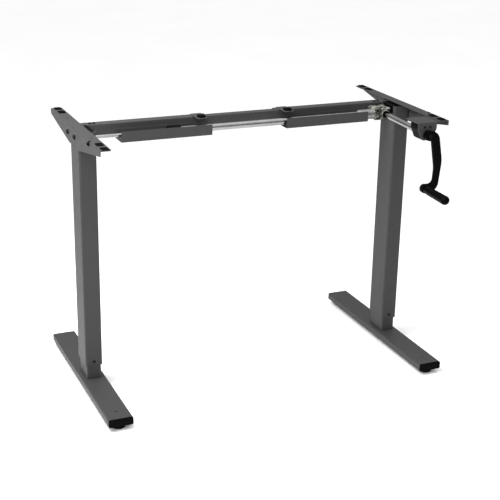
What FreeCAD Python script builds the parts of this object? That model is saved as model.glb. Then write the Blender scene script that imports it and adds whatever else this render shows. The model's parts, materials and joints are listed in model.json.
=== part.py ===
"""Hand-crank standing desk frame, built as separate pieces in millimetres.

X runs along the desk, Y towards the back, Z up from the floor. Every piece of a leg is built for the
right-hand leg and mirrored for the left-hand one.
"""
import FreeCAD, Part
import os
from math import cos, pi, radians, sin, tan

V = FreeCAD.Vector
X_AXIS = V(1, 0, 0)
Y_AXIS = V(0, 1, 0)
Z_AXIS = V(0, 0, 1)
gap = 0.3              # clearance between pieces that move past each other
running = 0.05         # radial clearance of a shaft in its bearing

# feet
foot_length = 600.0
foot_width = 70.0
foot_height = 23.0
foot_wall = 2.0
foot_bottom = 13.0     # underside above the floor, set by the glides
foot_y = 45.0          # the crank reaches further forward than the feet
cap_overhang = 5.0
glide_inset = 26.0     # from the end of the foot tube
glide_radius = 20.0
stem_radius = 4.0
foot_top = foot_bottom + foot_height

# telescoping columns
track = 963.0          # from column centre to column centre
leg_x = track / 2
leg_y = 40.0
outer_x = 49.0
outer_y = 84.0
column_wall = 2.0
outer_bottom = 79.0
outer_top = 763.0
inner_x = 42.0
inner_y = 77.0
inner_top = 650.0
housing_bottom = 708.0 # of the gear housing in the column top
screw_top = 716.0
screw_collar = 6.0     # height of the lifting screw's collar, just below the housing
sleeve_height = 30.0   # guide bush, slider and lift nut
notch_width = 62.0     # opening for the drive at the top of the inner wall
notch_bottom = 739.0

# brackets under the tabletop
bracket_length = 500.0
bracket_y = 35.0
flange_width = 31.0
sheet = 2.5
flange_top = 768.0
web_outer_x = leg_x + outer_x / 2 + sheet
web_depth = 51.0
web_end_depth = 15.0
pad_height = 2.0
tabletop_hole_pitch = 240.0
fold_hole_radius = 5.5
fold_hole_reach = 148.0

# cross beam
beam_depth = 30.0
beam_height = 34.0
beam_wall = 2.0
beam_top = 762.0
beam_inner_end = 108.0
beam_y = leg_y + outer_y / 2 + beam_depth / 2
beam_z = beam_top - beam_height / 2
rail_length = 560.0
ear_width = 32.0
ear_reach = 38.0       # how far the ear stands in front of the beam

# drive line
rod_y = leg_y
rod_z = 737.0
tube_radius = 10.0
sleeve_radius = 15.0   # of the sleeve and the collar at the ends of the tube
tube_start = -210.0
tube_end = 370.0
shaft_radius = 4.5
hex_flats = 8.6
hex_end = 40.0
screw_radius = 8.0
screw_bottom = 130.0
bevel_radius = 15.0
driven_bevel_radius = 9.5
cover_inner_end = 115.0
cover_outer_end = 380.0
cover_front_y = 20.0
cover_top = 750.0
cover_bottom = 720.0
cover_sheet = 1.5

# crank
crank_x = 440.5
crank_droop = 1.5      # degrees that the crank shaft falls towards the front
crank_shaft_radius = 9.0
shaft_neck = 27.0      # length of its thin part in front of the gearbox
neck_radius = 5.0
ring_depth = 4.0
gearbox_left = 407.0
gearbox_front = 26.0
gearbox_depth = 50.0
gearbox_height = 36.0
hanger_half_width = 30.0
hanger_depth = 42.5    # of the bearing block and the hanger plate together
hanger_tab_depth = 70.0
hanger_drop = 22.0     # how far it reaches below the height of the drive rods
hanger_front = bracket_y - bracket_length / 2 + 1
bearing_side = 1.0     # how far the bearing block stays inside the hanger plate's outline
crank_arm_y = -223.0
crank_reach = 155.5
arm_thickness = 13.0
hub_radius = 14.0
hub_front = crank_arm_y - 9
hub_back = hanger_front - 1
shaft_front = crank_arm_y - 3
boss_radius = 13.0
pin_radius = 4.0
grip_length = 113.0
grip_radius = 13.0


def box(x0, x1, y0, y1, z0, z1):
    return Part.makeBox(x1 - x0, y1 - y0, z1 - z0, V(x0, y0, z0))


def cylinder(radius, start, length, axis=Z_AXIS):
    return Part.makeCylinder(radius, length, start, axis)


def upright_bar(width, depth, radius, z0, z1, x=leg_x, y=leg_y):
    """Rounded rectangular bar standing on end."""
    bar = box(x - width / 2, x + width / 2, y - depth / 2, y + depth / 2, z0, z1)
    corners = [e for e in bar.Edges if abs(e.Length - (z1 - z0)) < 1e-6]
    return bar.makeFillet(radius, corners)


def lying_bar(width, height, radius, y0, y1, x, z):
    """Rounded rectangular bar lying along Y."""
    bar = box(x - width / 2, x + width / 2, y0, y1, z - height / 2, z + height / 2)
    corners = [e for e in bar.Edges if abs(e.Length - (y1 - y0)) < 1e-6]
    return bar.makeFillet(radius, corners)


def cross_bar(depth, height, radius, x0, x1):
    """Rounded rectangular bar along X, centred on the beam."""
    bar = box(x0, x1, beam_y - depth / 2, beam_y + depth / 2, beam_z - height / 2, beam_z + height / 2)
    corners = [e for e in bar.Edges if abs(e.Length - (x1 - x0)) < 1e-6]
    return bar.makeFillet(radius, corners)


def rounded_outline(corners, radii):
    """Closed outline whose corners are rounded by tangent arcs."""
    arcs = []
    for i, (corner, radius) in enumerate(zip(corners, radii)):
        back = (corners[i - 1] - corner).normalize()
        ahead = (corners[(i + 1) % len(corners)] - corner).normalize()
        half_turn = (pi - back.getAngle(ahead)) / 2
        reach = radius * tan(half_turn)
        middle = (back + ahead).normalize() * (radius / cos(half_turn) - radius)
        arcs.append((corner + back * reach, corner + middle, corner + ahead * reach))
    edges = []
    for before, arc in zip(arcs[-1:] + arcs, arcs):
        edges.append(Part.makeLine(before[2], arc[0]))
        edges.append(Part.Arc(*arc).toShape())
    return Part.Wire(edges)


def bevel(apex, axis, outer_radius, inner_radius, hub_length):
    """Cone with a 45 degree face whose point would lie at the apex, with a hub behind it."""
    base = apex - axis * (outer_radius + gap)
    cone = Part.makeCone(outer_radius, inner_radius, outer_radius - inner_radius, base, axis)
    hub = cylinder(outer_radius * 0.6, base - axis * hub_length, hub_length, axis)
    return cone.fuse(hub).removeSplitter()


def circles(shape):
    return [e for e in shape.Edges if e.Curve.TypeId == "Part::GeomCircle"]


def hex_prism(flats, start, length, axis=X_AXIS):
    """Hexagonal bar along an axis."""
    side = axis.cross(V(axis.z, axis.x, axis.y)).normalize()
    other = axis.cross(side)
    corner = flats / 2 / cos(radians(30))
    angles = [radians(60 * i) for i in range(7)]
    points = [start + side * (corner * cos(a)) + other * (corner * sin(a)) for a in angles]
    return Part.Face(Part.makePolygon(points)).extrude(axis * length)


def button_head(radius, height, seat, axis):
    """Low round screw head with a hexagonal socket, standing on its seat along the axis."""
    head = cylinder(radius, seat, height, axis)
    rim = [e for e in circles(head) if (e.Curve.Center - seat).Length > height / 2]
    socket = hex_prism(radius, seat + axis * (height * 0.4), height, axis)
    return head.makeFillet(height * 0.45, rim).cut(socket)


def screw(seat, axis, head_radius, head_height, shank_radius, shank_length):
    """Screw whose head stands out along the axis and whose shank runs the other way."""
    shank = cylinder(shank_radius, seat - axis * shank_length, shank_length, axis)
    return button_head(head_radius, head_height, seat, axis).fuse(shank).removeSplitter()


# ---- foot ----

def foot_ends():
    return foot_y - foot_length / 2, foot_y + foot_length / 2


def glide_positions():
    front, rear = foot_ends()
    return front + glide_inset, rear - glide_inset


def foot_screw_points():
    return [(leg_x + sx * 10, leg_y + sy * 26) for sx in (-1, 1) for sy in (-1, 1)]


def foot_tube():
    front, rear = foot_ends()
    z = foot_bottom + foot_height / 2
    tube = lying_bar(foot_width, foot_height, 5, front, rear, leg_x, z)
    hollow = lying_bar(foot_width - 2 * foot_wall, foot_height - 2 * foot_wall, 3, front, rear, leg_x, z)
    tube = tube.cut(hollow)
    for y in glide_positions():
        nut = cylinder(8, V(leg_x, y, foot_bottom + foot_wall), 6)
        tube = tube.fuse(nut).cut(cylinder(stem_radius + running, V(leg_x, y, foot_bottom - 1), 10))
    for x, y in foot_screw_points():
        tube = tube.cut(cylinder(2.6, V(x, y, foot_bottom - 1), foot_height + 2))
    return tube.cut(cylinder(3, V(leg_x, front + 42, foot_top - 5), 10))


def foot_caps():
    """A moulded plug for each end of the foot."""
    z = foot_bottom + foot_height / 2
    caps = []
    for end, outward in zip(foot_ends(), (-1, 1)):
        tip = end + outward * cap_overhang
        plug_end = end - outward * 12
        face = lying_bar(foot_width, foot_height, 5, min(end, tip), max(end, tip), leg_x, z)
        rim = [e for e in face.Edges if abs(e.CenterOfMass.y - tip) < 0.01]
        face = face.makeFillet(3, rim)
        plug = lying_bar(foot_width - 2 * foot_wall - 0.4, foot_height - 2 * foot_wall - 0.4, 2.8,
                         min(end, plug_end), max(end, plug_end), leg_x, z)
        caps.append(face.fuse(plug))
    return Part.makeCompound(caps)


def glide(y):
    """Levelling glide: moulded disc on a threaded stem, screwed fully in."""
    disc = cylinder(glide_radius, V(leg_x, y, 0), 7)
    disc = disc.makeFillet(1.5, disc.Edges[0:1] + disc.Edges[2:3])
    collar = Part.makeCone(16, 9, foot_bottom - gap - 7, V(leg_x, y, 7))
    stem = cylinder(stem_radius, V(leg_x, y, 7), 25)
    return disc.fuse(collar).fuse(stem).removeSplitter()


def foot_screws():
    return Part.makeCompound([screw(V(x, y, foot_bottom), V(0, 0, -1), 5, 4, 2.5, foot_height + 8)
                              for x, y in foot_screw_points()])


# ---- lower column, fixed to the foot ----

def lower_column():
    tube = upright_bar(inner_x, inner_y, 4, foot_top, inner_top)
    hollow_x = inner_x - 2 * column_wall
    hollow_y = inner_y - 2 * column_wall
    tube = tube.cut(upright_bar(hollow_x, hollow_y, 2, foot_top + 8, inner_top))
    for x, y in foot_screw_points():
        tube = tube.cut(cylinder(2.6, V(x, y, foot_top - 1), 12))
    return tube


def slider():
    """Plastic ring round the top of the lower column."""
    ring = upright_bar(outer_x - 2 * column_wall - 2 * gap, outer_y - 2 * column_wall - 2 * gap, 3,
                       inner_top - sleeve_height, inner_top)
    return ring.cut(upright_bar(inner_x, inner_y, 4, inner_top - sleeve_height, inner_top))


def nut_block():
    top = inner_top - 5
    block = upright_bar(inner_x - 2 * column_wall, inner_y - 2 * column_wall, 2, top - sleeve_height, top)
    bore = cylinder(screw_radius + running, V(leg_x, leg_y, top - sleeve_height), sleeve_height)
    return block.cut(bore)


# ---- upper column ----

def upper_column():
    tube = upright_bar(outer_x, outer_y, 5, outer_bottom, outer_top)
    hollow = upright_bar(outer_x - 2 * column_wall, outer_y - 2 * column_wall, 3, outer_bottom, outer_top)
    tube = tube.cut(hollow)
    inner_face = leg_x - outer_x / 2
    tube = tube.cut(cylinder(7, V(inner_face - 1, rod_y, rod_z), 6, X_AXIS))
    tube = tube.cut(box(inner_face - 1, inner_face + column_wall + 1, rod_y - notch_width / 2,
                        rod_y + notch_width / 2, notch_bottom, outer_top + 1))
    tube = tube.cut(cylinder(2.6, V(leg_x, leg_y - outer_y / 2 - 1, outer_bottom + 12), 6, Y_AXIS))
    bolt_y, bolt_z = web_bolt_points()[1]
    return tube.cut(cylinder(3.1, V(leg_x + outer_x / 2 - 4, bolt_y, bolt_z), 6, X_AXIS))


def guide_bush():
    """Plastic ring in the mouth of the upper column."""
    z0 = outer_bottom + 1
    ring = upright_bar(outer_x - 2 * column_wall, outer_y - 2 * column_wall, 3, z0, z0 + sleeve_height)
    return ring.cut(upright_bar(inner_x + 2 * gap, inner_y + 2 * gap, 4, z0, z0 + sleeve_height))


def guide_screw():
    seat = V(leg_x, leg_y - outer_y / 2, outer_bottom + 12)
    return screw(seat, V(0, -1, 0), 4, 2, 2.5, column_wall)


def gear_housing():
    """Moulded housing that closes the column top and carries its bevel gears."""
    z0 = housing_bottom
    z1 = outer_top - 2
    block = upright_bar(outer_x - 2 * column_wall, outer_y - 2 * column_wall, 3, z0, z1)
    block = block.cut(box(leg_x - 18, leg_x + 18, leg_y - 25, leg_y + 25, z0 + 5, z1 - 4))
    block = block.cut(cylinder(screw_radius + running, V(leg_x, leg_y, z0 - 1), 8))
    block = block.cut(cylinder(shaft_radius + running, V(leg_x - 23, rod_y, rod_z), 8, X_AXIS))
    bolt_y, bolt_z = web_bolt_points()[1]
    return block.cut(cylinder(3.1, V(leg_x + 16, bolt_y, bolt_z), 8, X_AXIS))


# ---- bracket ----

def web_bolt_points():
    """Y and Z of the bolts through the web: one into the beam, one into the column."""
    return [(beam_y, beam_z - 1), (leg_y - 11, beam_z)]


def tabletop_hole_points():
    return [(web_outer_x - flange_width / 2, bracket_y + side * tabletop_hole_pitch / 2) for side in (-1, 1)]


def bracket():
    front = bracket_y - bracket_length / 2
    rear = bracket_y + bracket_length / 2
    low = flange_top - web_depth
    end_low = flange_top - web_end_depth
    outline = [(front, flange_top), (rear, flange_top), (rear, end_low), (leg_y + 46, low),
               (leg_y - 50, low), (front, end_low), (front, flange_top)]
    corners = [V(web_outer_x - sheet, y, z) for y, z in outline]
    web = Part.Face(Part.makePolygon(corners)).extrude(X_AXIS * sheet)
    flange = box(web_outer_x - flange_width, web_outer_x, front, rear, flange_top - sheet, flange_top)
    ends = [e for e in flange.Edges if abs(e.Length - sheet) < 1e-6 and e.CenterOfMass.x < web_outer_x - 5]
    sheetwork = web.fuse(flange.makeFillet(6, ends)).removeSplitter()
    fold = [e for e in sheetwork.Edges if abs(e.Length - bracket_length) < 1e-3
            and abs(e.CenterOfMass.x - web_outer_x) < 0.01 and abs(e.CenterOfMass.z - flange_top) < 0.01]
    sheetwork = sheetwork.makeFillet(2.4, fold)
    for y, z in web_bolt_points():
        sheetwork = sheetwork.cut(cylinder(3.1, V(web_outer_x - 5, y, z), 10, X_AXIS))
    outward = V(1, 0, 1).normalize()
    fold_point = V(web_outer_x, bracket_y - fold_hole_reach, flange_top)
    sheetwork = sheetwork.cut(cylinder(fold_hole_radius, fold_point - outward * 8, 16, outward))
    for x, y in tabletop_hole_points():
        sheetwork = sheetwork.cut(cylinder(3.25, V(x, y, flange_top - 5), 10))
    return sheetwork


def pad(x, y, width, length, z):
    """Pad that stands on z and ends level with all the others."""
    top = flange_top + pad_height
    block = box(x - width / 2, x + width / 2, y - length / 2, y + length / 2, z, top)
    corners = [e for e in block.Edges if abs(e.Length - (top - z)) < 1e-6]
    block = block.makeFillet(4, corners)
    rim = [e for e in block.Edges if abs(e.CenterOfMass.z - top) < 1e-6]
    return block.makeFillet(0.7, rim)


def pads():
    """Anti-slip pads: two at each end of the bracket and one on the beam ear."""
    x = web_outer_x - flange_width / 2 - 1
    places = [bracket_y + side * reach for side in (-1, 1) for reach in (190, 235)]
    rest = [pad(x, y, 19, 27, flange_top) for y in places]
    ear_x = beam_inner_end + 10 + ear_width / 2
    rest.append(pad(ear_x, beam_y - beam_depth / 2 - ear_reach / 2 - 4, 21, 22, beam_top + sheet))
    return Part.makeCompound(rest)


def bracket_bolts():
    return Part.makeCompound([screw(V(web_outer_x, y, z), X_AXIS, 6.5, 4, 3, 10)
                              for y, z in web_bolt_points()])


# ---- cross beam ----

def beam_screw_places():
    """Seat and outward direction: two on top by the column, two width clamps behind."""
    top = [(V(leg_x + dx, beam_y - 7, beam_top), Z_AXIS) for dx in (-44, -32)]
    back = [(V(beam_inner_end + dx, beam_y + beam_depth / 2, beam_z), Y_AXIS) for dx in (22, 62)]
    return top + back


def beam():
    outer_end = web_outer_x - sheet
    tube = cross_bar(beam_depth, beam_height, 3, beam_inner_end, outer_end)
    hollow = cross_bar(beam_depth - 2 * beam_wall, beam_height - 2 * beam_wall, 1.5,
                       beam_inner_end, outer_end - 3)
    tube = tube.cut(hollow)
    for seat, axis in beam_screw_places():
        tube = tube.cut(cylinder(2.6, seat - axis * 4, 6, axis))
    bolt_y, bolt_z = web_bolt_points()[0]
    return tube.cut(cylinder(3.1, V(outer_end - 5, bolt_y, bolt_z), 8, X_AXIS))


def beam_screws():
    return Part.makeCompound([screw(seat, axis, 4.5, 2.5, 2.5, beam_wall)
                              for seat, axis in beam_screw_places()])


def center_rail():
    clearance = 2 * beam_wall + 2 * gap
    rail = cross_bar(beam_depth - clearance, beam_height - clearance, 1.5, -rail_length / 2, rail_length / 2)
    clearance = clearance + 2 * beam_wall
    return rail.cut(cross_bar(beam_depth - clearance, beam_height - clearance, 1,
                              -rail_length / 2, rail_length / 2))


def ear():
    """Tab on top of the beam that reaches forward under the tabletop."""
    x0 = beam_inner_end + 10
    front = beam_y - beam_depth / 2 - ear_reach
    back = beam_y + 10
    tab = box(x0, x0 + ear_width, front, back, beam_top, beam_top + sheet)
    corners = [e for e in tab.Edges if abs(e.Length - sheet) < 1e-6 and e.CenterOfMass.y < front + 1]
    tab = tab.makeFillet(6, corners)
    hole_y = beam_y - beam_depth / 2 - 6
    return tab.cut(cylinder(3, V(x0 + ear_width / 2, hole_y, beam_top - 1), sheet + 2))


def rod_cover():
    """Folded tray hung on the front of the beam, open at the top and ends."""
    back_y = beam_y - beam_depth / 2
    x0 = cover_inner_end
    x1 = cover_outer_end
    front = box(x0, x1, cover_front_y, cover_front_y + cover_sheet, cover_bottom, cover_top)
    floor = box(x0, x1, cover_front_y, back_y, cover_bottom, cover_bottom + cover_sheet)
    back = box(x0, x1, back_y - cover_sheet, back_y, cover_bottom, beam_z)
    tray = front.fuse(floor).fuse(back).removeSplitter()
    folds = [e for e in tray.Edges if abs(e.Length - (x1 - x0)) < 1e-6
             and abs(e.CenterOfMass.z - cover_bottom) < 0.01]
    return tray.makeFillet(1.4, folds)


# ---- lifting screws and drive rods ----

def lift_screw():
    rod = cylinder(screw_radius, V(leg_x, leg_y, screw_bottom), screw_top - screw_bottom)
    collar = cylinder(11, V(leg_x, leg_y, housing_bottom - screw_collar), screw_collar - gap)
    return rod.fuse(collar).removeSplitter()


def screw_bevel():
    apex = V(leg_x, leg_y, rod_z)
    return bevel(apex, Z_AXIS, bevel_radius, 7, rod_z - bevel_radius - gap - screw_top)


def input_bevel():
    return bevel(V(leg_x, rod_y, rod_z), X_AXIS, bevel_radius, 7, 2)


def drive_rod_end():
    return leg_x - bevel_radius - gap - 2


def hex_rod():
    """Hexagonal rod from the left column, turned round where it enters the gear housing."""
    start = -drive_rod_end()
    journal = cylinder(shaft_radius, V(start, rod_y, rod_z), 14, X_AXIS)
    rod = hex_prism(hex_flats, V(start + 14, rod_y, rod_z), hex_end - start - 14)
    return journal.fuse(rod)


def drive_tube():
    length = tube_end - tube_start
    tube = cylinder(tube_radius, V(tube_start, rod_y, rod_z), length, X_AXIS)
    return tube.cut(cylinder(tube_radius - 1.5, V(tube_start, rod_y, rod_z), length, X_AXIS))


def tube_collar():
    """Collar on the tube end with a hexagonal hole that drives the tube from the rod."""
    start = tube_start - 30
    collar = cylinder(sleeve_radius, V(start, rod_y, rod_z), 36, X_AXIS)
    collar = collar.makeFillet(1.2, circles(collar))
    collar = collar.cut(hex_prism(hex_flats + 2 * gap, V(start, rod_y, rod_z), 36))
    return collar.cut(cylinder(tube_radius, V(tube_start, rod_y, rod_z), 10, X_AXIS))


def coupling_sleeve():
    start = tube_end - 18
    end = gearbox_left - 2
    cone_length = 9
    sleeve = Part.makeCone(tube_radius + 1.5, sleeve_radius, cone_length, V(start, rod_y, rod_z), X_AXIS)
    body_start = start + cone_length
    body = cylinder(sleeve_radius, V(body_start, rod_y, rod_z), end - body_start, X_AXIS)
    sleeve = sleeve.fuse(body).removeSplitter()
    sleeve = sleeve.cut(cylinder(tube_radius, V(start, rod_y, rod_z), 18, X_AXIS))
    return sleeve.cut(cylinder(shaft_radius, V(end - 20, rod_y, rod_z), 20, X_AXIS))


def cross_shaft():
    """Shaft through the crank gearbox into the right column, with both of its bevel gears."""
    start = gearbox_left - 22
    shaft = cylinder(shaft_radius, V(start, rod_y, rod_z), drive_rod_end() - start, X_AXIS)
    driven = bevel(V(crank_x, rod_y, rod_z), V(-1, 0, 0), driven_bevel_radius, 5.5, 1)
    return shaft.fuse(driven).fuse(input_bevel()).removeSplitter()


# ---- crank ----

def along_crank(shape):
    """Turns a shape built along Y down to the line of the crank shaft."""
    shape.rotate(V(crank_x, rod_y, rod_z), X_AXIS, crank_droop)
    return shape


def crank_bore(radius, start, end):
    """Cutting tool for a hole that the crank shaft passes through."""
    return along_crank(cylinder(radius, V(crank_x, start, rod_z), end - start, Y_AXIS))


def crank_gearbox():
    """Cast housing on the inner face of the right column."""
    x1 = leg_x - outer_x / 2
    z0 = rod_z - gearbox_height / 2
    z1 = rod_z + gearbox_height / 2
    front = gearbox_front
    back = gearbox_front + gearbox_depth
    block = box(gearbox_left, x1, front, back, z0, z1)
    edges = [e for e in block.Edges if e.CenterOfMass.x < x1 - 1]
    block = block.makeFillet(5, edges)
    boss = cylinder(sleeve_radius, V(gearbox_left - 1.5, rod_y, rod_z), 6, X_AXIS)
    block = block.fuse(boss).removeSplitter()
    block = block.cut(box(crank_x - 16, crank_x + 12, front + 2.5, back - 4, z0 + 4, z1 - 4))
    block = block.cut(cylinder(shaft_radius + running, V(gearbox_left - 5, rod_y, rod_z), 60, X_AXIS))
    return block.cut(crank_bore(neck_radius + running, front - 1, front + 5))


def bearing_ring():
    front = gearbox_front - ring_depth
    ring = cylinder(13, V(crank_x, front, rod_z), ring_depth, Y_AXIS)
    rim = [e for e in ring.Edges if abs(e.CenterOfMass.y - front) < 0.01]
    return ring.makeFillet(1, rim).cut(crank_bore(neck_radius + running, front - 1, gearbox_front + 1))


def crank_shaft():
    """Shaft from the hub of the crank, thinner where it enters the gearbox."""
    shoulder = gearbox_front - ring_depth - shaft_neck
    neck_end = rod_y - driven_bevel_radius - gap - 1
    shaft = cylinder(crank_shaft_radius, V(crank_x, shaft_front, rod_z), shoulder - shaft_front, Y_AXIS)
    neck = cylinder(neck_radius, V(crank_x, shoulder, rod_z), neck_end - shoulder, Y_AXIS)
    return shaft.fuse(neck).removeSplitter()


def crank_bevel():
    return bevel(V(crank_x, rod_y, rod_z), Y_AXIS, driven_bevel_radius, 5.5, 1)


def tongue(half_width, front, depth, top):
    """Slab round the crank shaft: straight sides, narrowing to a rounded foot below the shaft."""
    low = rod_z - hanger_drop
    foot = half_width * 0.55
    right = [(half_width, top), (half_width, rod_z + 10), (foot, low)]
    left = [(-x, z) for x, z in reversed(right)]
    corners = [V(crank_x + x, front, z) for x, z in right + left]
    return Part.Face(rounded_outline(corners, [1, 12, 10, 10, 12, 1])).extrude(Y_AXIS * depth)


def bearing_screw_points():
    return [(crank_x + side * 9, rod_z + 16) for side in (-1, 1)]


def crank_hanger():
    """Folded plate under the right bracket that holds the shaft bearing."""
    top = flange_top - sheet
    plate = tongue(hanger_half_width, hanger_front, sheet, top)
    tab = box(crank_x - hanger_half_width, web_outer_x - sheet,
              hanger_front, hanger_front + hanger_tab_depth, top - sheet, top)
    plate = plate.fuse(tab).removeSplitter()
    plate = plate.cut(crank_bore(crank_shaft_radius + 1.5, hanger_front - 2, hanger_front + 5))
    for x, z in bearing_screw_points():
        plate = plate.cut(cylinder(1.7, V(x, hanger_front - 1, z), 8, Y_AXIS))
    return plate


def shaft_bearing():
    """Moulded block behind the hanger plate that the crank shaft runs in."""
    start = hanger_front + sheet
    depth = hanger_depth - sheet
    block = tongue(hanger_half_width - bearing_side, start, depth, flange_top - 2 * sheet)
    block = block.cut(crank_bore(crank_shaft_radius + running, start - 2, start + depth + 2))
    for x, z in bearing_screw_points():
        block = block.cut(cylinder(1.7, V(x, start - 1, z), 10, Y_AXIS))
    return block


def bearing_screws():
    return Part.makeCompound([screw(V(x, hanger_front, z), V(0, -1, 0), 3, 1.8, 1.7, 9)
                              for x, z in bearing_screw_points()])


def arm_outline():
    """Bowed arm seen from the front, wide below the hub and narrower towards the grip."""
    top = hub_radius - 1
    low = -crank_reach - boss_radius
    inner_low = -crank_reach + boss_radius
    end = -boss_radius
    corners = [(end, top), (31, top), (49, -76), (41, low), (end, low), (end, inner_low),
               (23.5, inner_low), (25.5, -98), (9, -top), (end, -top)]
    radii = [12.9, 30, 110, 30, 12.9, 12.9, 14, 90, 10, 12.9]
    back = crank_arm_y + arm_thickness / 2
    return rounded_outline([V(crank_x + x, back, rod_z + z) for x, z in corners], radii)


def crank_arm():
    """Moulded arm with a hub on the shaft and a boss for the grip."""
    arm = Part.Face(arm_outline()).extrude(V(0, -arm_thickness, 0))
    rims = [e for e in arm.Edges if abs(abs(e.CenterOfMass.y - crank_arm_y) - arm_thickness / 2) < 0.01]
    arm = arm.makeFillet(arm_thickness * 0.34, rims)
    hub = cylinder(hub_radius, V(crank_x, hub_front, rod_z), hub_back - hub_front, Y_AXIS)
    hub = hub.makeFillet(2, circles(hub))
    pin_z = rod_z - crank_reach
    boss = cylinder(boss_radius, V(crank_x, hub_front, pin_z), 15.5, Y_AXIS)
    boss = boss.makeFillet(2, circles(boss))
    body = arm.fuse(hub).fuse(boss)
    body = body.cut(cylinder(crank_shaft_radius, V(crank_x, shaft_front, rod_z), 30, Y_AXIS))
    body = body.cut(cylinder(3, V(crank_x, hub_front - 5, rod_z), 40, Y_AXIS))
    return body.cut(cylinder(pin_radius, V(crank_x, hub_front - 5, pin_z), 40, Y_AXIS))


def hub_screw():
    return screw(V(crank_x, hub_front, rod_z), V(0, -1, 0), 6, 3, 3, shaft_front - hub_front)


def grip_pin():
    """Steel pin through the boss, with its head behind the arm."""
    z = rod_z - crank_reach
    arm_back = crank_arm_y + arm_thickness / 2
    head = cylinder(6, V(crank_x, arm_back, z), 1.2, Y_AXIS)
    end = hub_front - grip_length + 16
    return head.fuse(cylinder(pin_radius, V(crank_x, end, z), arm_back - end, Y_AXIS)).removeSplitter()


def grip():
    """Hand grip that turns on the pin, slightly tapered and closed by a round front."""
    z = rod_z - crank_reach
    back = hub_front - gap
    front = back - grip_length
    nose = grip_radius * 0.9
    shoulder = nose * (1 - cos(radians(45)))
    points = [V(crank_x, front, z), V(crank_x, front + nose, z + grip_radius),
              V(crank_x, back - 18, z + grip_radius * 0.92), V(crank_x, back, z + grip_radius * 0.8),
              V(crank_x, back, z)]
    on_nose = V(crank_x, front + shoulder, z + grip_radius * sin(radians(45)))
    lines = [Part.Arc(points[0], on_nose, points[1]).toShape()]
    lines += [Part.makeLine(first, second) for first, second in zip(points[1:], points[2:])]
    lines.append(Part.makeLine(points[-1], points[0]))
    solid = Part.Face(Part.Wire(lines)).revolve(V(crank_x, back, z), Y_AXIS, 360)
    return solid.cut(cylinder(pin_radius + running, V(crank_x, front + 15, z), grip_length, Y_AXIS))


def leg_pieces():
    """Pieces that both legs have, built on the right."""
    front_glide, rear_glide = glide_positions()
    return {
        "foot_tube": foot_tube(), "foot_caps": foot_caps(), "foot_screws": foot_screws(),
        "glide_front": glide(front_glide), "glide_rear": glide(rear_glide),
        "lower_column": lower_column(), "slider": slider(), "nut_block": nut_block(),
        "upper_column": upper_column(), "guide_bush": guide_bush(), "guide_screw": guide_screw(),
        "gear_housing": gear_housing(), "bracket": bracket(), "pads": pads(),
        "bracket_bolts": bracket_bolts(), "beam": beam(), "beam_screws": beam_screws(), "ear": ear(),
        "rod_cover": rod_cover(), "lift_screw": lift_screw(), "screw_bevel": screw_bevel(),
    }


def crank_pieces():
    """Pieces that turn with the crank, built along Y."""
    return {
        "crank_shaft": crank_shaft(), "crank_bevel": crank_bevel(), "crank_arm": crank_arm(),
        "hub_screw": hub_screw(), "grip_pin": grip_pin(), "crank_grip": grip(),
    }


def all_pieces():
    pieces = {}
    for name, shape in leg_pieces().items():
        pieces["right_" + name] = shape
        pieces["left_" + name] = shape.mirror(V(0, 0, 0), X_AXIS)
    pieces.update({
        "left_input_bevel": input_bevel().mirror(V(0, 0, 0), X_AXIS),
        "center_rail": center_rail(), "hex_rod": hex_rod(), "drive_tube": drive_tube(),
        "tube_collar": tube_collar(), "coupling_sleeve": coupling_sleeve(), "cross_shaft": cross_shaft(),
        "crank_gearbox": crank_gearbox(), "bearing_ring": bearing_ring(), "crank_hanger": crank_hanger(),
        "shaft_bearing": shaft_bearing(), "bearing_screws": bearing_screws(),
    })
    for name, shape in crank_pieces().items():
        pieces[name] = along_crank(shape)
    return pieces


os.makedirs("parts", exist_ok=True)
for piece_name, piece in all_pieces().items():
    piece.exportStep("parts/" + piece_name + ".step")
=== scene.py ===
"""Materials, light and camera for the hand-crank standing desk frame."""
import bpy
import json
import math
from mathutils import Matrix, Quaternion, Vector


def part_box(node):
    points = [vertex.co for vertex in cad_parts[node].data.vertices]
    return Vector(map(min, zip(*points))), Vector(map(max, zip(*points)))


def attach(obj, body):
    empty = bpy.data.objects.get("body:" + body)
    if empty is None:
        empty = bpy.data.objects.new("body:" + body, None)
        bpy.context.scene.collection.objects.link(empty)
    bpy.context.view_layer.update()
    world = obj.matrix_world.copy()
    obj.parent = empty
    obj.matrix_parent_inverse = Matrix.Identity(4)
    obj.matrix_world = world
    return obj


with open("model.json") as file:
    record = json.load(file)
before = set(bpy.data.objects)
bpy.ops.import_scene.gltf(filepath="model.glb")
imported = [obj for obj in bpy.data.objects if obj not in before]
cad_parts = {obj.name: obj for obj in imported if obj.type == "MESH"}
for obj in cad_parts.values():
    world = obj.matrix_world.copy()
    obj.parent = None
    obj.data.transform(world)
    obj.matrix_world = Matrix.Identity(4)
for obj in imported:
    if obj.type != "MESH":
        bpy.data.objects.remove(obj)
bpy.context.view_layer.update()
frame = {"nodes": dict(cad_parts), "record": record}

nodes = frame["nodes"]

# Base colors, as linear albedo.
frame_grey = (0.034, 0.034, 0.035)
plastic_black = (0.0007, 0.0007, 0.0008)
bearing_white = (0.7, 0.69, 0.64)
zinc_bright = (0.34, 0.34, 0.34)
gear_grey = (0.4, 0.4, 0.41)
cast_grey = (0.27, 0.27, 0.245)
cast_olive = (0.03, 0.029, 0.02)
floor_white = (0.9, 0.9, 0.9)
floor_dim = (0.89, 0.89, 0.89)
floor_bright = (0.91, 0.91, 0.91)

# Most of a noise texture's values lie between these two.
noise_low = 0.3
noise_high = 0.7

# How far a rounded normal leaves the flat one where an edge begins to show, and where it shows fully.
edge_start = 0.02
edge_full = 0.16

# Color sockets of a Mix node, by number.
mix_first = 6
mix_second = 7
mix_result = 2

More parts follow.
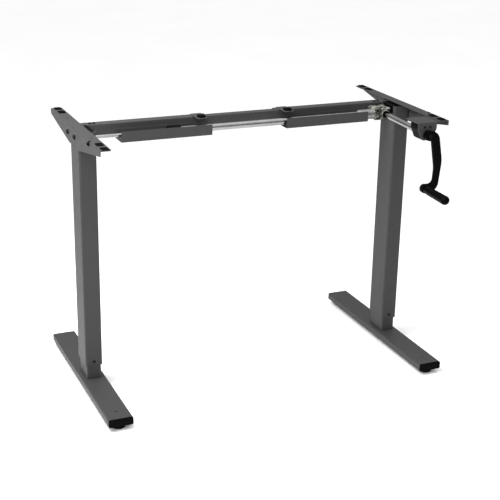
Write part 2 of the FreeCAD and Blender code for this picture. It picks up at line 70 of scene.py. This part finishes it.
# Lengths are in metres.
turned_steps = 24          # points around a turned shape
sharp_angle = 35           # degrees between faces that meet in a sharp edge
socket_step = math.pi / 3  # angle from one corner of a hexagonal socket to the next
screw_inset = 0.0065       # from the sides of the gearbox to the middle of a front screw
left_screw_shift = 0.002   # added to that for the two front screws on the left
top_screw_inset = 0.011    # from the front and back of the gearbox to the middle of a top screw
seal_share = 0.78          # of the bearing ring's radius
# The plug below is painted shade: a black piece that stands for the shade inside the hole through each
# bracket's fold.
shade_plug_radius = 0.0072
shade_plug_depth = 0.007         # of the plug behind its seat
fold_hole_reach = 0.148    # from the middle of a bracket forward to the hole in its fold
fold_inset = 0.001         # of the plug's seat from the bracket's outer face
fold_drop = 0.005          # of the plug's seat below the bracket's top, so it stays under the pads
bead_radius = 0.0016
bead_steps = 60
bead_points = 8            # points around a weld bead
bead_end_share = 0.35      # of the bead's radius at its two ends
bead_taper = 6             # how fast the bead reaches its full radius from there
bead_ripples = ((0.16, 1.9), (0.06, 5.3))  # share of the radius, and radians per step
weld_lift = 0.0004         # of a bead's middle above the beam
weld_setback = 0.004       # of a bead's start from the beam's front

floor_size = 60
horizon_light = 0.16
zenith_light = 2.0
dome_falloff = 2.0         # power of the height that brightens the dome
camera_azimuth = -23.5     # degrees, to the left of the front
camera_elevation = 20.0
camera_distance = 3.336
camera_roll = 1.1
camera_lens = 82.6         # millimetres, as is the sensor
sensor_width = 36
look_at = Vector((-0.013, -0.025, 0.379))


# ---- shader helpers ----

class Shader:
    """A principled material that is wired up step by step."""

    def __init__(self, name, color, roughness, metallic=0.0, specular=0.5):
        self.material = bpy.data.materials.new(name)
        self.material.use_nodes = True
        self.tree = self.material.node_tree
        self.surface = self.tree.nodes["Principled BSDF"]
        self.surface.inputs["Base Color"].default_value = (*color, 1)
        self.surface.inputs["Roughness"].default_value = roughness
        self.surface.inputs["Metallic"].default_value = metallic
        self.surface.inputs["Specular IOR Level"].default_value = specular
        self.place = self.add("ShaderNodeTexCoord").outputs["Object"]

    def add(self, kind, **settings):
        node = self.tree.nodes.new(kind)
        for key, value in settings.items():
            setattr(node, key, value)
        return node

    def link(self, output, node, socket):
        self.tree.links.new(output, node.inputs[socket])

    def stretched(self, factors):
        """Object coordinates stretched along the axes."""
        mapping = self.add("ShaderNodeMapping")
        mapping.inputs["Scale"].default_value = factors
        self.link(self.place, mapping, "Vector")
        return mapping.outputs["Vector"]

    def noise(self, scale, detail=2.0, place=None):
        node = self.add("ShaderNodeTexNoise")
        node.inputs["Scale"].default_value = scale
        node.inputs["Detail"].default_value = detail
        self.link(place or self.place, node, "Vector")
        return node.outputs["Fac"]

    def ramp(self, factor, low, high, color_low, color_high):
        node = self.add("ShaderNodeValToRGB")
        node.color_ramp.elements[0].position = low
        node.color_ramp.elements[1].position = high
        node.color_ramp.elements[0].color = (*color_low, 1)
        node.color_ramp.elements[1].color = (*color_high, 1)
        self.link(factor, node, "Fac")
        return node.outputs["Color"]

    def spread(self, factor, low, high):
        """A noise factor mapped to low..high."""
        node = self.add("ShaderNodeMapRange")
        node.inputs["From Min"].default_value = noise_low
        node.inputs["From Max"].default_value = noise_high
        node.inputs["To Min"].default_value = low
        node.inputs["To Max"].default_value = high
        self.link(factor, node, "Value")
        return node.outputs["Result"]

    def blend(self, factor, first, second):
        node = self.add("ShaderNodeMix", data_type="RGBA")
        self.link(factor, node, "Factor")
        self.link(first, node, mix_first)
        self.link(second, node, mix_second)
        return node.outputs[mix_result]

    def rounded(self, radius):
        """Normal that turns smoothly across each edge."""
        node = self.add("ShaderNodeBevel", samples=6)
        node.inputs["Radius"].default_value = radius
        return node.outputs["Normal"]

    def edge_mask(self, rounded):
        """Mask that is high along edges, where the rounded normal leaves the flat one."""
        flat = self.add("ShaderNodeNewGeometry").outputs["Normal"]
        dot = self.add("ShaderNodeVectorMath", operation="DOT_PRODUCT")
        self.link(rounded, dot, 0)
        self.link(flat, dot, 1)
        mask = self.add("ShaderNodeMapRange")
        mask.inputs["From Min"].default_value = 1 - edge_start
        mask.inputs["From Max"].default_value = 1 - edge_full
        self.link(dot.outputs["Value"], mask, "Value")
        return mask.outputs["Result"]

    def bumps(self, layers, normal=None):
        """Stacks (height, distance, strength) layers and wires them to the surface."""
        for height, distance, strength in layers:
            node = self.add("ShaderNodeBump")
            node.inputs["Distance"].default_value = distance
            node.inputs["Strength"].default_value = strength
            self.link(height, node, "Height")
            if normal:
                self.link(normal, node, "Normal")
            normal = node.outputs["Normal"]
        self.link(normal, self.surface, "Normal")


def shade(color, factor):
    """The color made darker or brighter by a factor."""
    return tuple(channel * factor for channel in color)


# ---- materials ----

def powder_coat():
    """Grey powder coat: fine grain, cloudy in large, with a painted highlight that makes its edges paler in
    noisy patches.
    """
    shader = Shader("frame_paint", frame_grey, 0.5, specular=0.25)
    cloud = shader.ramp(shader.noise(7, 4), noise_low, noise_high,
                        shade(frame_grey, 0.92), shade(frame_grey, 1.08))
    grain = shader.noise(900, 3)
    speck = shader.ramp(grain, 0.35, 0.65, shade(frame_grey, 0.88), shade(frame_grey, 1.12))
    rounded = shader.rounded(0.0012)
    edge = shader.edge_mask(rounded)
    color = shader.blend(shader.noise(40, 2), cloud, speck)
    # Painted highlight: the edges turn up to 1.7 times paler, broken into patches by noise.
    painted_edge_highlight = shader.ramp(edge, 0.0, 1.0, frame_grey, shade(frame_grey, 1.7))
    highlight_patches = shader.add("ShaderNodeMath", operation="MULTIPLY")
    shader.link(edge, highlight_patches, 0)
    shader.link(shader.spread(shader.noise(90, 3), 0.25, 0.9), highlight_patches, 1)
    shader.link(shader.blend(highlight_patches.outputs["Value"], color, painted_edge_highlight), shader.surface, "Base Color")
    shader.link(shader.spread(shader.noise(260, 3), 0.42, 0.58), shader.surface, "Roughness")
    shader.bumps([(grain, 0.0004, 0.35), (shader.noise(2600, 2), 0.0002, 0.3)], rounded)
    return shader.material


def moulded_plastic(name, color, roughness, grain_scale=1500):
    """Moulded plastic with a fine spark-eroded texture and a painted highlight along its edges."""
    shader = Shader(name, color, roughness, specular=0.035)
    rounded = shader.rounded(0.0008)
    edge = shader.edge_mask(rounded)
    base = shader.ramp(shader.noise(12, 3), noise_low, noise_high, shade(color, 0.85), shade(color, 1.2))
    # Painted highlight: the edges turn 2.6 times paler.
    painted_edge_sheen = shader.ramp(edge, 0.0, 1.0, color, shade(color, 2.6))
    shader.link(shader.blend(edge, base, painted_edge_sheen), shader.surface, "Base Color")
    shader.link(shader.spread(shader.noise(320, 3), roughness - 0.08, roughness + 0.08),
                shader.surface, "Roughness")
    shader.bumps([(shader.noise(grain_scale, 2), 0.0003, 0.35)], rounded)
    return shader.material


def rubber():
    """Dull black rubber with a faint bloom."""
    shader = Shader("rubber", plastic_black, 0.8, specular=0.04)
    base = shader.ramp(shader.noise(300, 4), 0.35, 0.7, shade(plastic_black, 0.8), shade(plastic_black, 1.8))
    shader.link(base, shader.surface, "Base Color")
    shader.link(shader.spread(shader.noise(90, 2), 0.7, 0.9), shader.surface, "Roughness")
    shader.bumps([(shader.noise(800, 3), 0.0004, 0.4)])
    return shader.material


def turned_steel(name, color, roughness, stretch):
    """Bright steel whose faint marks are packed closer along the axes with a larger stretch."""
    shader = Shader(name, color, roughness, metallic=1.0)
    lines = shader.noise(60, 4, shader.stretched(stretch))
    tarnish = shader.noise(22, 4)
    shader.link(shader.ramp(tarnish, 0.25, 0.75, shade(color, 0.82), shade(color, 1.1)),
                shader.surface, "Base Color")
    shader.link(shader.spread(lines, roughness - 0.07, roughness + 0.1), shader.surface, "Roughness")
    shader.bumps([(lines, 0.0002, 0.25)], shader.rounded(0.0005))
    return shader.material


def cast_metal():
    """Raw die casting: grainy, with olive stains, and a painted highlight that brightens its edges."""
    shader = Shader("cast_metal", cast_grey, 0.5, metallic=0.6)
    rounded = shader.rounded(0.0015)
    edge = shader.edge_mask(rounded)
    stain = shader.ramp(shader.noise(75, 5), 0.46, 0.6, cast_olive, shade(cast_grey, 1.15))
    # Painted highlight: the edges turn twice as bright.
    bright = shader.ramp(edge, 0.0, 1.0, cast_grey, shade(cast_grey, 2))
    shader.link(shader.blend(edge, stain, bright), shader.surface, "Base Color")
    shader.link(shader.spread(shader.noise(200, 3), 0.36, 0.62), shader.surface, "Roughness")
    shader.bumps([(shader.noise(420, 4), 0.0008, 0.5), (shader.noise(60, 2), 0.002, 0.5)], rounded)
    return shader.material


def black_screws():
    """Black finished screws, slightly glossy."""
    shader = Shader("black_screws", plastic_black, 0.38, specular=0.1)
    base = shader.ramp(shader.noise(240, 4), noise_low, noise_high, plastic_black, shade(plastic_black, 4))
    shader.link(base, shader.surface, "Base Color")
    shader.link(shader.spread(shader.noise(500, 2), 0.28, 0.5), shader.surface, "Roughness")
    shader.bumps([(shader.noise(900, 2), 0.0002, 0.3)], shader.rounded(0.0005))
    return shader.material


def make_materials():
    """One material for each slot in the record."""
    return {
        "frame_paint": powder_coat(),
        "black_plastic": moulded_plastic("black_plastic", plastic_black, 0.5),
        "crank_plastic": moulded_plastic("crank_plastic", plastic_black, 0.36, 1100),
        "bearing_plastic": moulded_plastic("bearing_plastic", bearing_white, 0.4),
        "rubber": rubber(),
        "black_screws": black_screws(),
        "bright_steel": turned_steel("bright_steel", zinc_bright, 0.22, (1, 12, 12)),
        "sleeve_steel": turned_steel("sleeve_steel", shade(zinc_bright, 0.8), 0.36, (12, 1, 1)),
        "gear_steel": turned_steel("gear_steel", gear_grey, 0.33, (1, 6, 6)),
        "cast_metal": cast_metal(),
    }


def paint_nodes(materials):
    """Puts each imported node's own material on its slots."""
    for entry in frame["record"]["subparts"]:
        piece = nodes[entry["node"]]
        for slot in piece.material_slots:
            slot.material = materials[entry["material_slot"]]


# ---- pieces that add detail ----

def new_piece(name, vertices, faces, material_name, body):
    """Smooth-shaded mesh piece that rides on a body."""
    mesh = bpy.data.meshes.new(name)
    mesh.from_pydata(vertices, [], faces)
    mesh.validate()
    mesh.shade_smooth()
    mesh.set_sharp_from_angle(angle=math.radians(sharp_angle))
    mesh.materials.append(materials[material_name])
    piece = bpy.data.objects.new(name, mesh)
    bpy.context.scene.collection.objects.link(piece)
    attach(piece, body)


def turned_mesh(profiles, facing):
    """Closed turned shapes as one mesh.

    Each is a centre and its profile: rows of distance out along the facing direction, radius, and
    whether the row is hexagonal, as in a socket."""
    turn = Vector((0, 0, 1)).rotation_difference(facing)
    steps = turned_steps
    vertices = []
    faces = []
    for centre, profile in profiles:
        base = len(vertices)
        for out, radius, hexagonal in profile:
            for i in range(steps):
                angle = 2 * math.pi * i / steps
                reach = radius
                if hexagonal:
                    reach = radius / math.cos(angle % socket_step - socket_step / 2)
                point = Vector((reach * math.cos(angle), reach * math.sin(angle), out))
                vertices.append(centre + turn @ point)
        for row in range(len(profile) - 1):
            for i in range(steps):
                first = base + row * steps
                ahead = (i + 1) % steps
                faces.append((first + i, first + ahead, first + steps + ahead, first + steps + i))
        faces.append(tuple(base + i for i in reversed(range(steps))))
        last = base + (len(profile) - 1) * steps
        faces.append(tuple(last + i for i in range(steps)))
    return vertices, faces


def cap_screw(radius, height):
    """Profile of a cylinder head screw with a hexagonal socket, from inside the wall outwards."""
    bevel = radius * 0.15
    return [(-0.002, radius, False), (height - bevel, radius, False), (height, radius - bevel, False),
            (height, radius * 0.55, True), (height * 0.35, radius * 0.5, True)]


def gearbox_screws():
    """Four cover screws at the corners of the gearbox front and two on its top."""
    low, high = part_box("crank_gearbox")
    columns = (low.x + screw_inset + left_screw_shift, high.x - screw_inset)
    rows = (low.z + screw_inset, high.z - screw_inset)
    front = [Vector((x, low.y, z)) for x in columns for z in rows]
    front_screw = cap_screw(radius=0.003, height=0.0022)
    shape = turned_mesh([(place, front_screw) for place in front], Vector((0, -1, 0)))
    new_piece("gearbox_front_screws", *shape, "black_screws", "right_frame")
    middle = (low.x + high.x) / 2
    top = [Vector((middle, y, high.z)) for y in (low.y + top_screw_inset, high.y - top_screw_inset)]
    top_screw = cap_screw(radius=0.0035, height=0.0025)
    shape = turned_mesh([(place, top_screw) for place in top], Vector((0, 0, 1)))
    new_piece("gearbox_top_screws", *shape, "black_screws", "right_frame")


def bearing_seal():
    """Black lip seal let into the ring where the crank shaft enters the gearbox."""
    low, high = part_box("bearing_ring")
    centre = Vector(((low.x + high.x) / 2, low.y, (low.z + high.z) / 2))
    outer = (high.x - low.x) / 2 * seal_share
    profile = [(-0.001, outer, False), (0.0006, outer, False), (0.001, outer * 0.93, False),
               (0.0002, outer * 0.72, False), (0.0012, outer * 0.62, False), (0.0008, outer * 0.53, False)]
    shape = turned_mesh([(centre, profile)], Vector((0, -1, 0)))
    new_piece("bearing_seal", *shape, "rubber", "right_frame")


def fold_shade_plugs():
    """Black domed shade plug at the hole through the outer fold of each bracket: painted shade, a black
    piece that stands for the shade inside the hole.

    It is wider than the hole and sits lower than its middle, so a sliver of the hole stays open above."""
    profile = [(-shade_plug_depth, shade_plug_radius, False), (0.0018, shade_plug_radius, False), (0.003, 0.0062, False),
               (0.0038, 0.004, False), (0.0042, 0.001, False)]
    for side, outward in (("left", -1), ("right", 1)):
        low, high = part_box(side + "_bracket")
        edge = low.x if outward < 0 else high.x
        place = Vector((edge - outward * fold_inset, (low.y + high.y) / 2 - fold_hole_reach,
                        high.z - fold_drop))
        shape = turned_mesh([(place, profile)], Vector((outward, 0, 1)).normalized())
        new_piece(side + "_fold_shade_plug", *shape, "black_plastic", side + "_frame")


def weld_bead(name, start, end, body):
    """Low rippled bead along a straight seam."""
    steps = bead_steps
    around = bead_points
    axis = (end - start).normalized()
    side = axis.orthogonal().normalized()
    other = axis.cross(side)
    vertices = []
    faces = []
    for i in range(steps + 1):
        along = i / steps
        ripple = 1 + sum(height * math.sin(i * pace) for height, pace in bead_ripples)
        taper = min(1, bead_end_share + bead_taper * min(along, 1 - along))
        centre = start.lerp(end, along)
        for j in range(around):
            angle = 2 * math.pi * j / around
            spoke = side * math.cos(angle) + other * math.sin(angle)
            vertices.append(centre + spoke * (bead_radius * ripple * taper))
    for i in range(steps):
        for j in range(around):
            ahead = (j + 1) % around
            row = i * around
            next_row = row + around
            faces.append((row + j, row + ahead, next_row + ahead, next_row + j))
    faces.append(tuple(reversed(range(around))))
    faces.append(tuple(steps * around + j for j in range(around)))
    new_piece(name, vertices, faces, "frame_paint", body)


def ear_welds():
    """Beads that hold each ear to the top of its beam."""
    for side in ("left", "right"):
        ear_low, ear_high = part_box(side + "_ear")
        beam_low, beam_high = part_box(side + "_beam")
        for x, label in ((ear_low.x, "inner"), (ear_high.x, "outer")):
            seam_height = beam_high.z + weld_lift
            start = Vector((x, beam_low.y + weld_setback, seam_height))
            end = Vector((x, ear_high.y, seam_height))
            weld_bead(f"{side}_ear_weld_{label}", start, end, side + "_frame")


# ---- stage, light and camera ----

def make_floor():
    """Plain pale floor."""
    bpy.ops.mesh.primitive_plane_add(size=floor_size, location=(0, 0, 0))
    floor = bpy.context.object
    floor.name = "studio_floor"
    shader = Shader("studio_floor", floor_white, 0.9)
    tone = shader.ramp(shader.noise(1.5, 2), noise_low, noise_high, floor_dim, floor_bright)
    shader.link(tone, shader.surface, "Base Color")
    floor.data.materials.append(shader.material)


def area_light(name, place, size, power):
    """Square lamp that faces the point the camera looks at."""
    light = bpy.data.objects.new(name, bpy.data.lights.new(name, "AREA"))
    light.data.shape = "RECTANGLE"
    light.data.size = size
    light.data.size_y = size
    light.data.energy = power
    light.location = place
    light.rotation_mode = "QUATERNION"
    light.rotation_quaternion = (look_at - Vector(place)).to_track_quat("-Z", "Y")
    bpy.context.scene.collection.objects.link(light)


def make_world():
    """Soft white dome, bright overhead and dimmer towards the horizon."""
    world = bpy.data.worlds.new("studio")
    bpy.context.scene.world = world
    world.use_nodes = True
    tree = world.node_tree
    background = tree.nodes["Background"]
    background.inputs["Color"].default_value = (1, 1, 1, 1)
    direction = tree.nodes.new("ShaderNodeTexCoord").outputs["Generated"]
    split = tree.nodes.new("ShaderNodeSeparateXYZ")
    falloff = tree.nodes.new("ShaderNodeMath")
    falloff.operation = "POWER"
    falloff.inputs[1].default_value = dome_falloff
    level = tree.nodes.new("ShaderNodeMapRange")
    level.inputs["To Min"].default_value = horizon_light
    level.inputs["To Max"].default_value = zenith_light
    tree.links.new(direction, split.inputs[0])
    tree.links.new(split.outputs["Z"], falloff.inputs[0])
    tree.links.new(falloff.outputs[0], level.inputs["Value"])
    tree.links.new(level.outputs["Result"], background.inputs["Strength"])


def make_lights():
    area_light("key", place=(-2.1, -1.0, 1.6), size=1.2, power=10)
    area_light("top", place=(-1.0, -0.1, 1.8), size=0.8, power=42)
    area_light("fill", place=(-1.1, -2.4, 1.6), size=2.0, power=35)


def make_camera():
    camera = bpy.data.objects.new("camera", bpy.data.cameras.new("camera"))
    camera.data.lens = camera_lens
    camera.data.sensor_width = sensor_width
    azimuth = math.radians(camera_azimuth)
    elevation = math.radians(camera_elevation)
    back = Vector((math.sin(azimuth) * math.cos(elevation), -math.cos(azimuth) * math.cos(elevation),
                   math.sin(elevation)))
    camera.location = look_at + back * camera_distance
    camera.rotation_mode = "QUATERNION"
    roll = Quaternion((0, 0, 1), math.radians(camera_roll))
    camera.rotation_quaternion = (-back).to_track_quat("-Z", "Y") @ roll
    bpy.context.scene.collection.objects.link(camera)
    bpy.context.scene.camera = camera
    bpy.context.scene.view_settings.view_transform = "Standard"


materials = make_materials()
paint_nodes(materials)
gearbox_screws()
bearing_seal()
fold_shade_plugs()
ear_welds()
make_floor()
make_world()
make_lights()
make_camera()
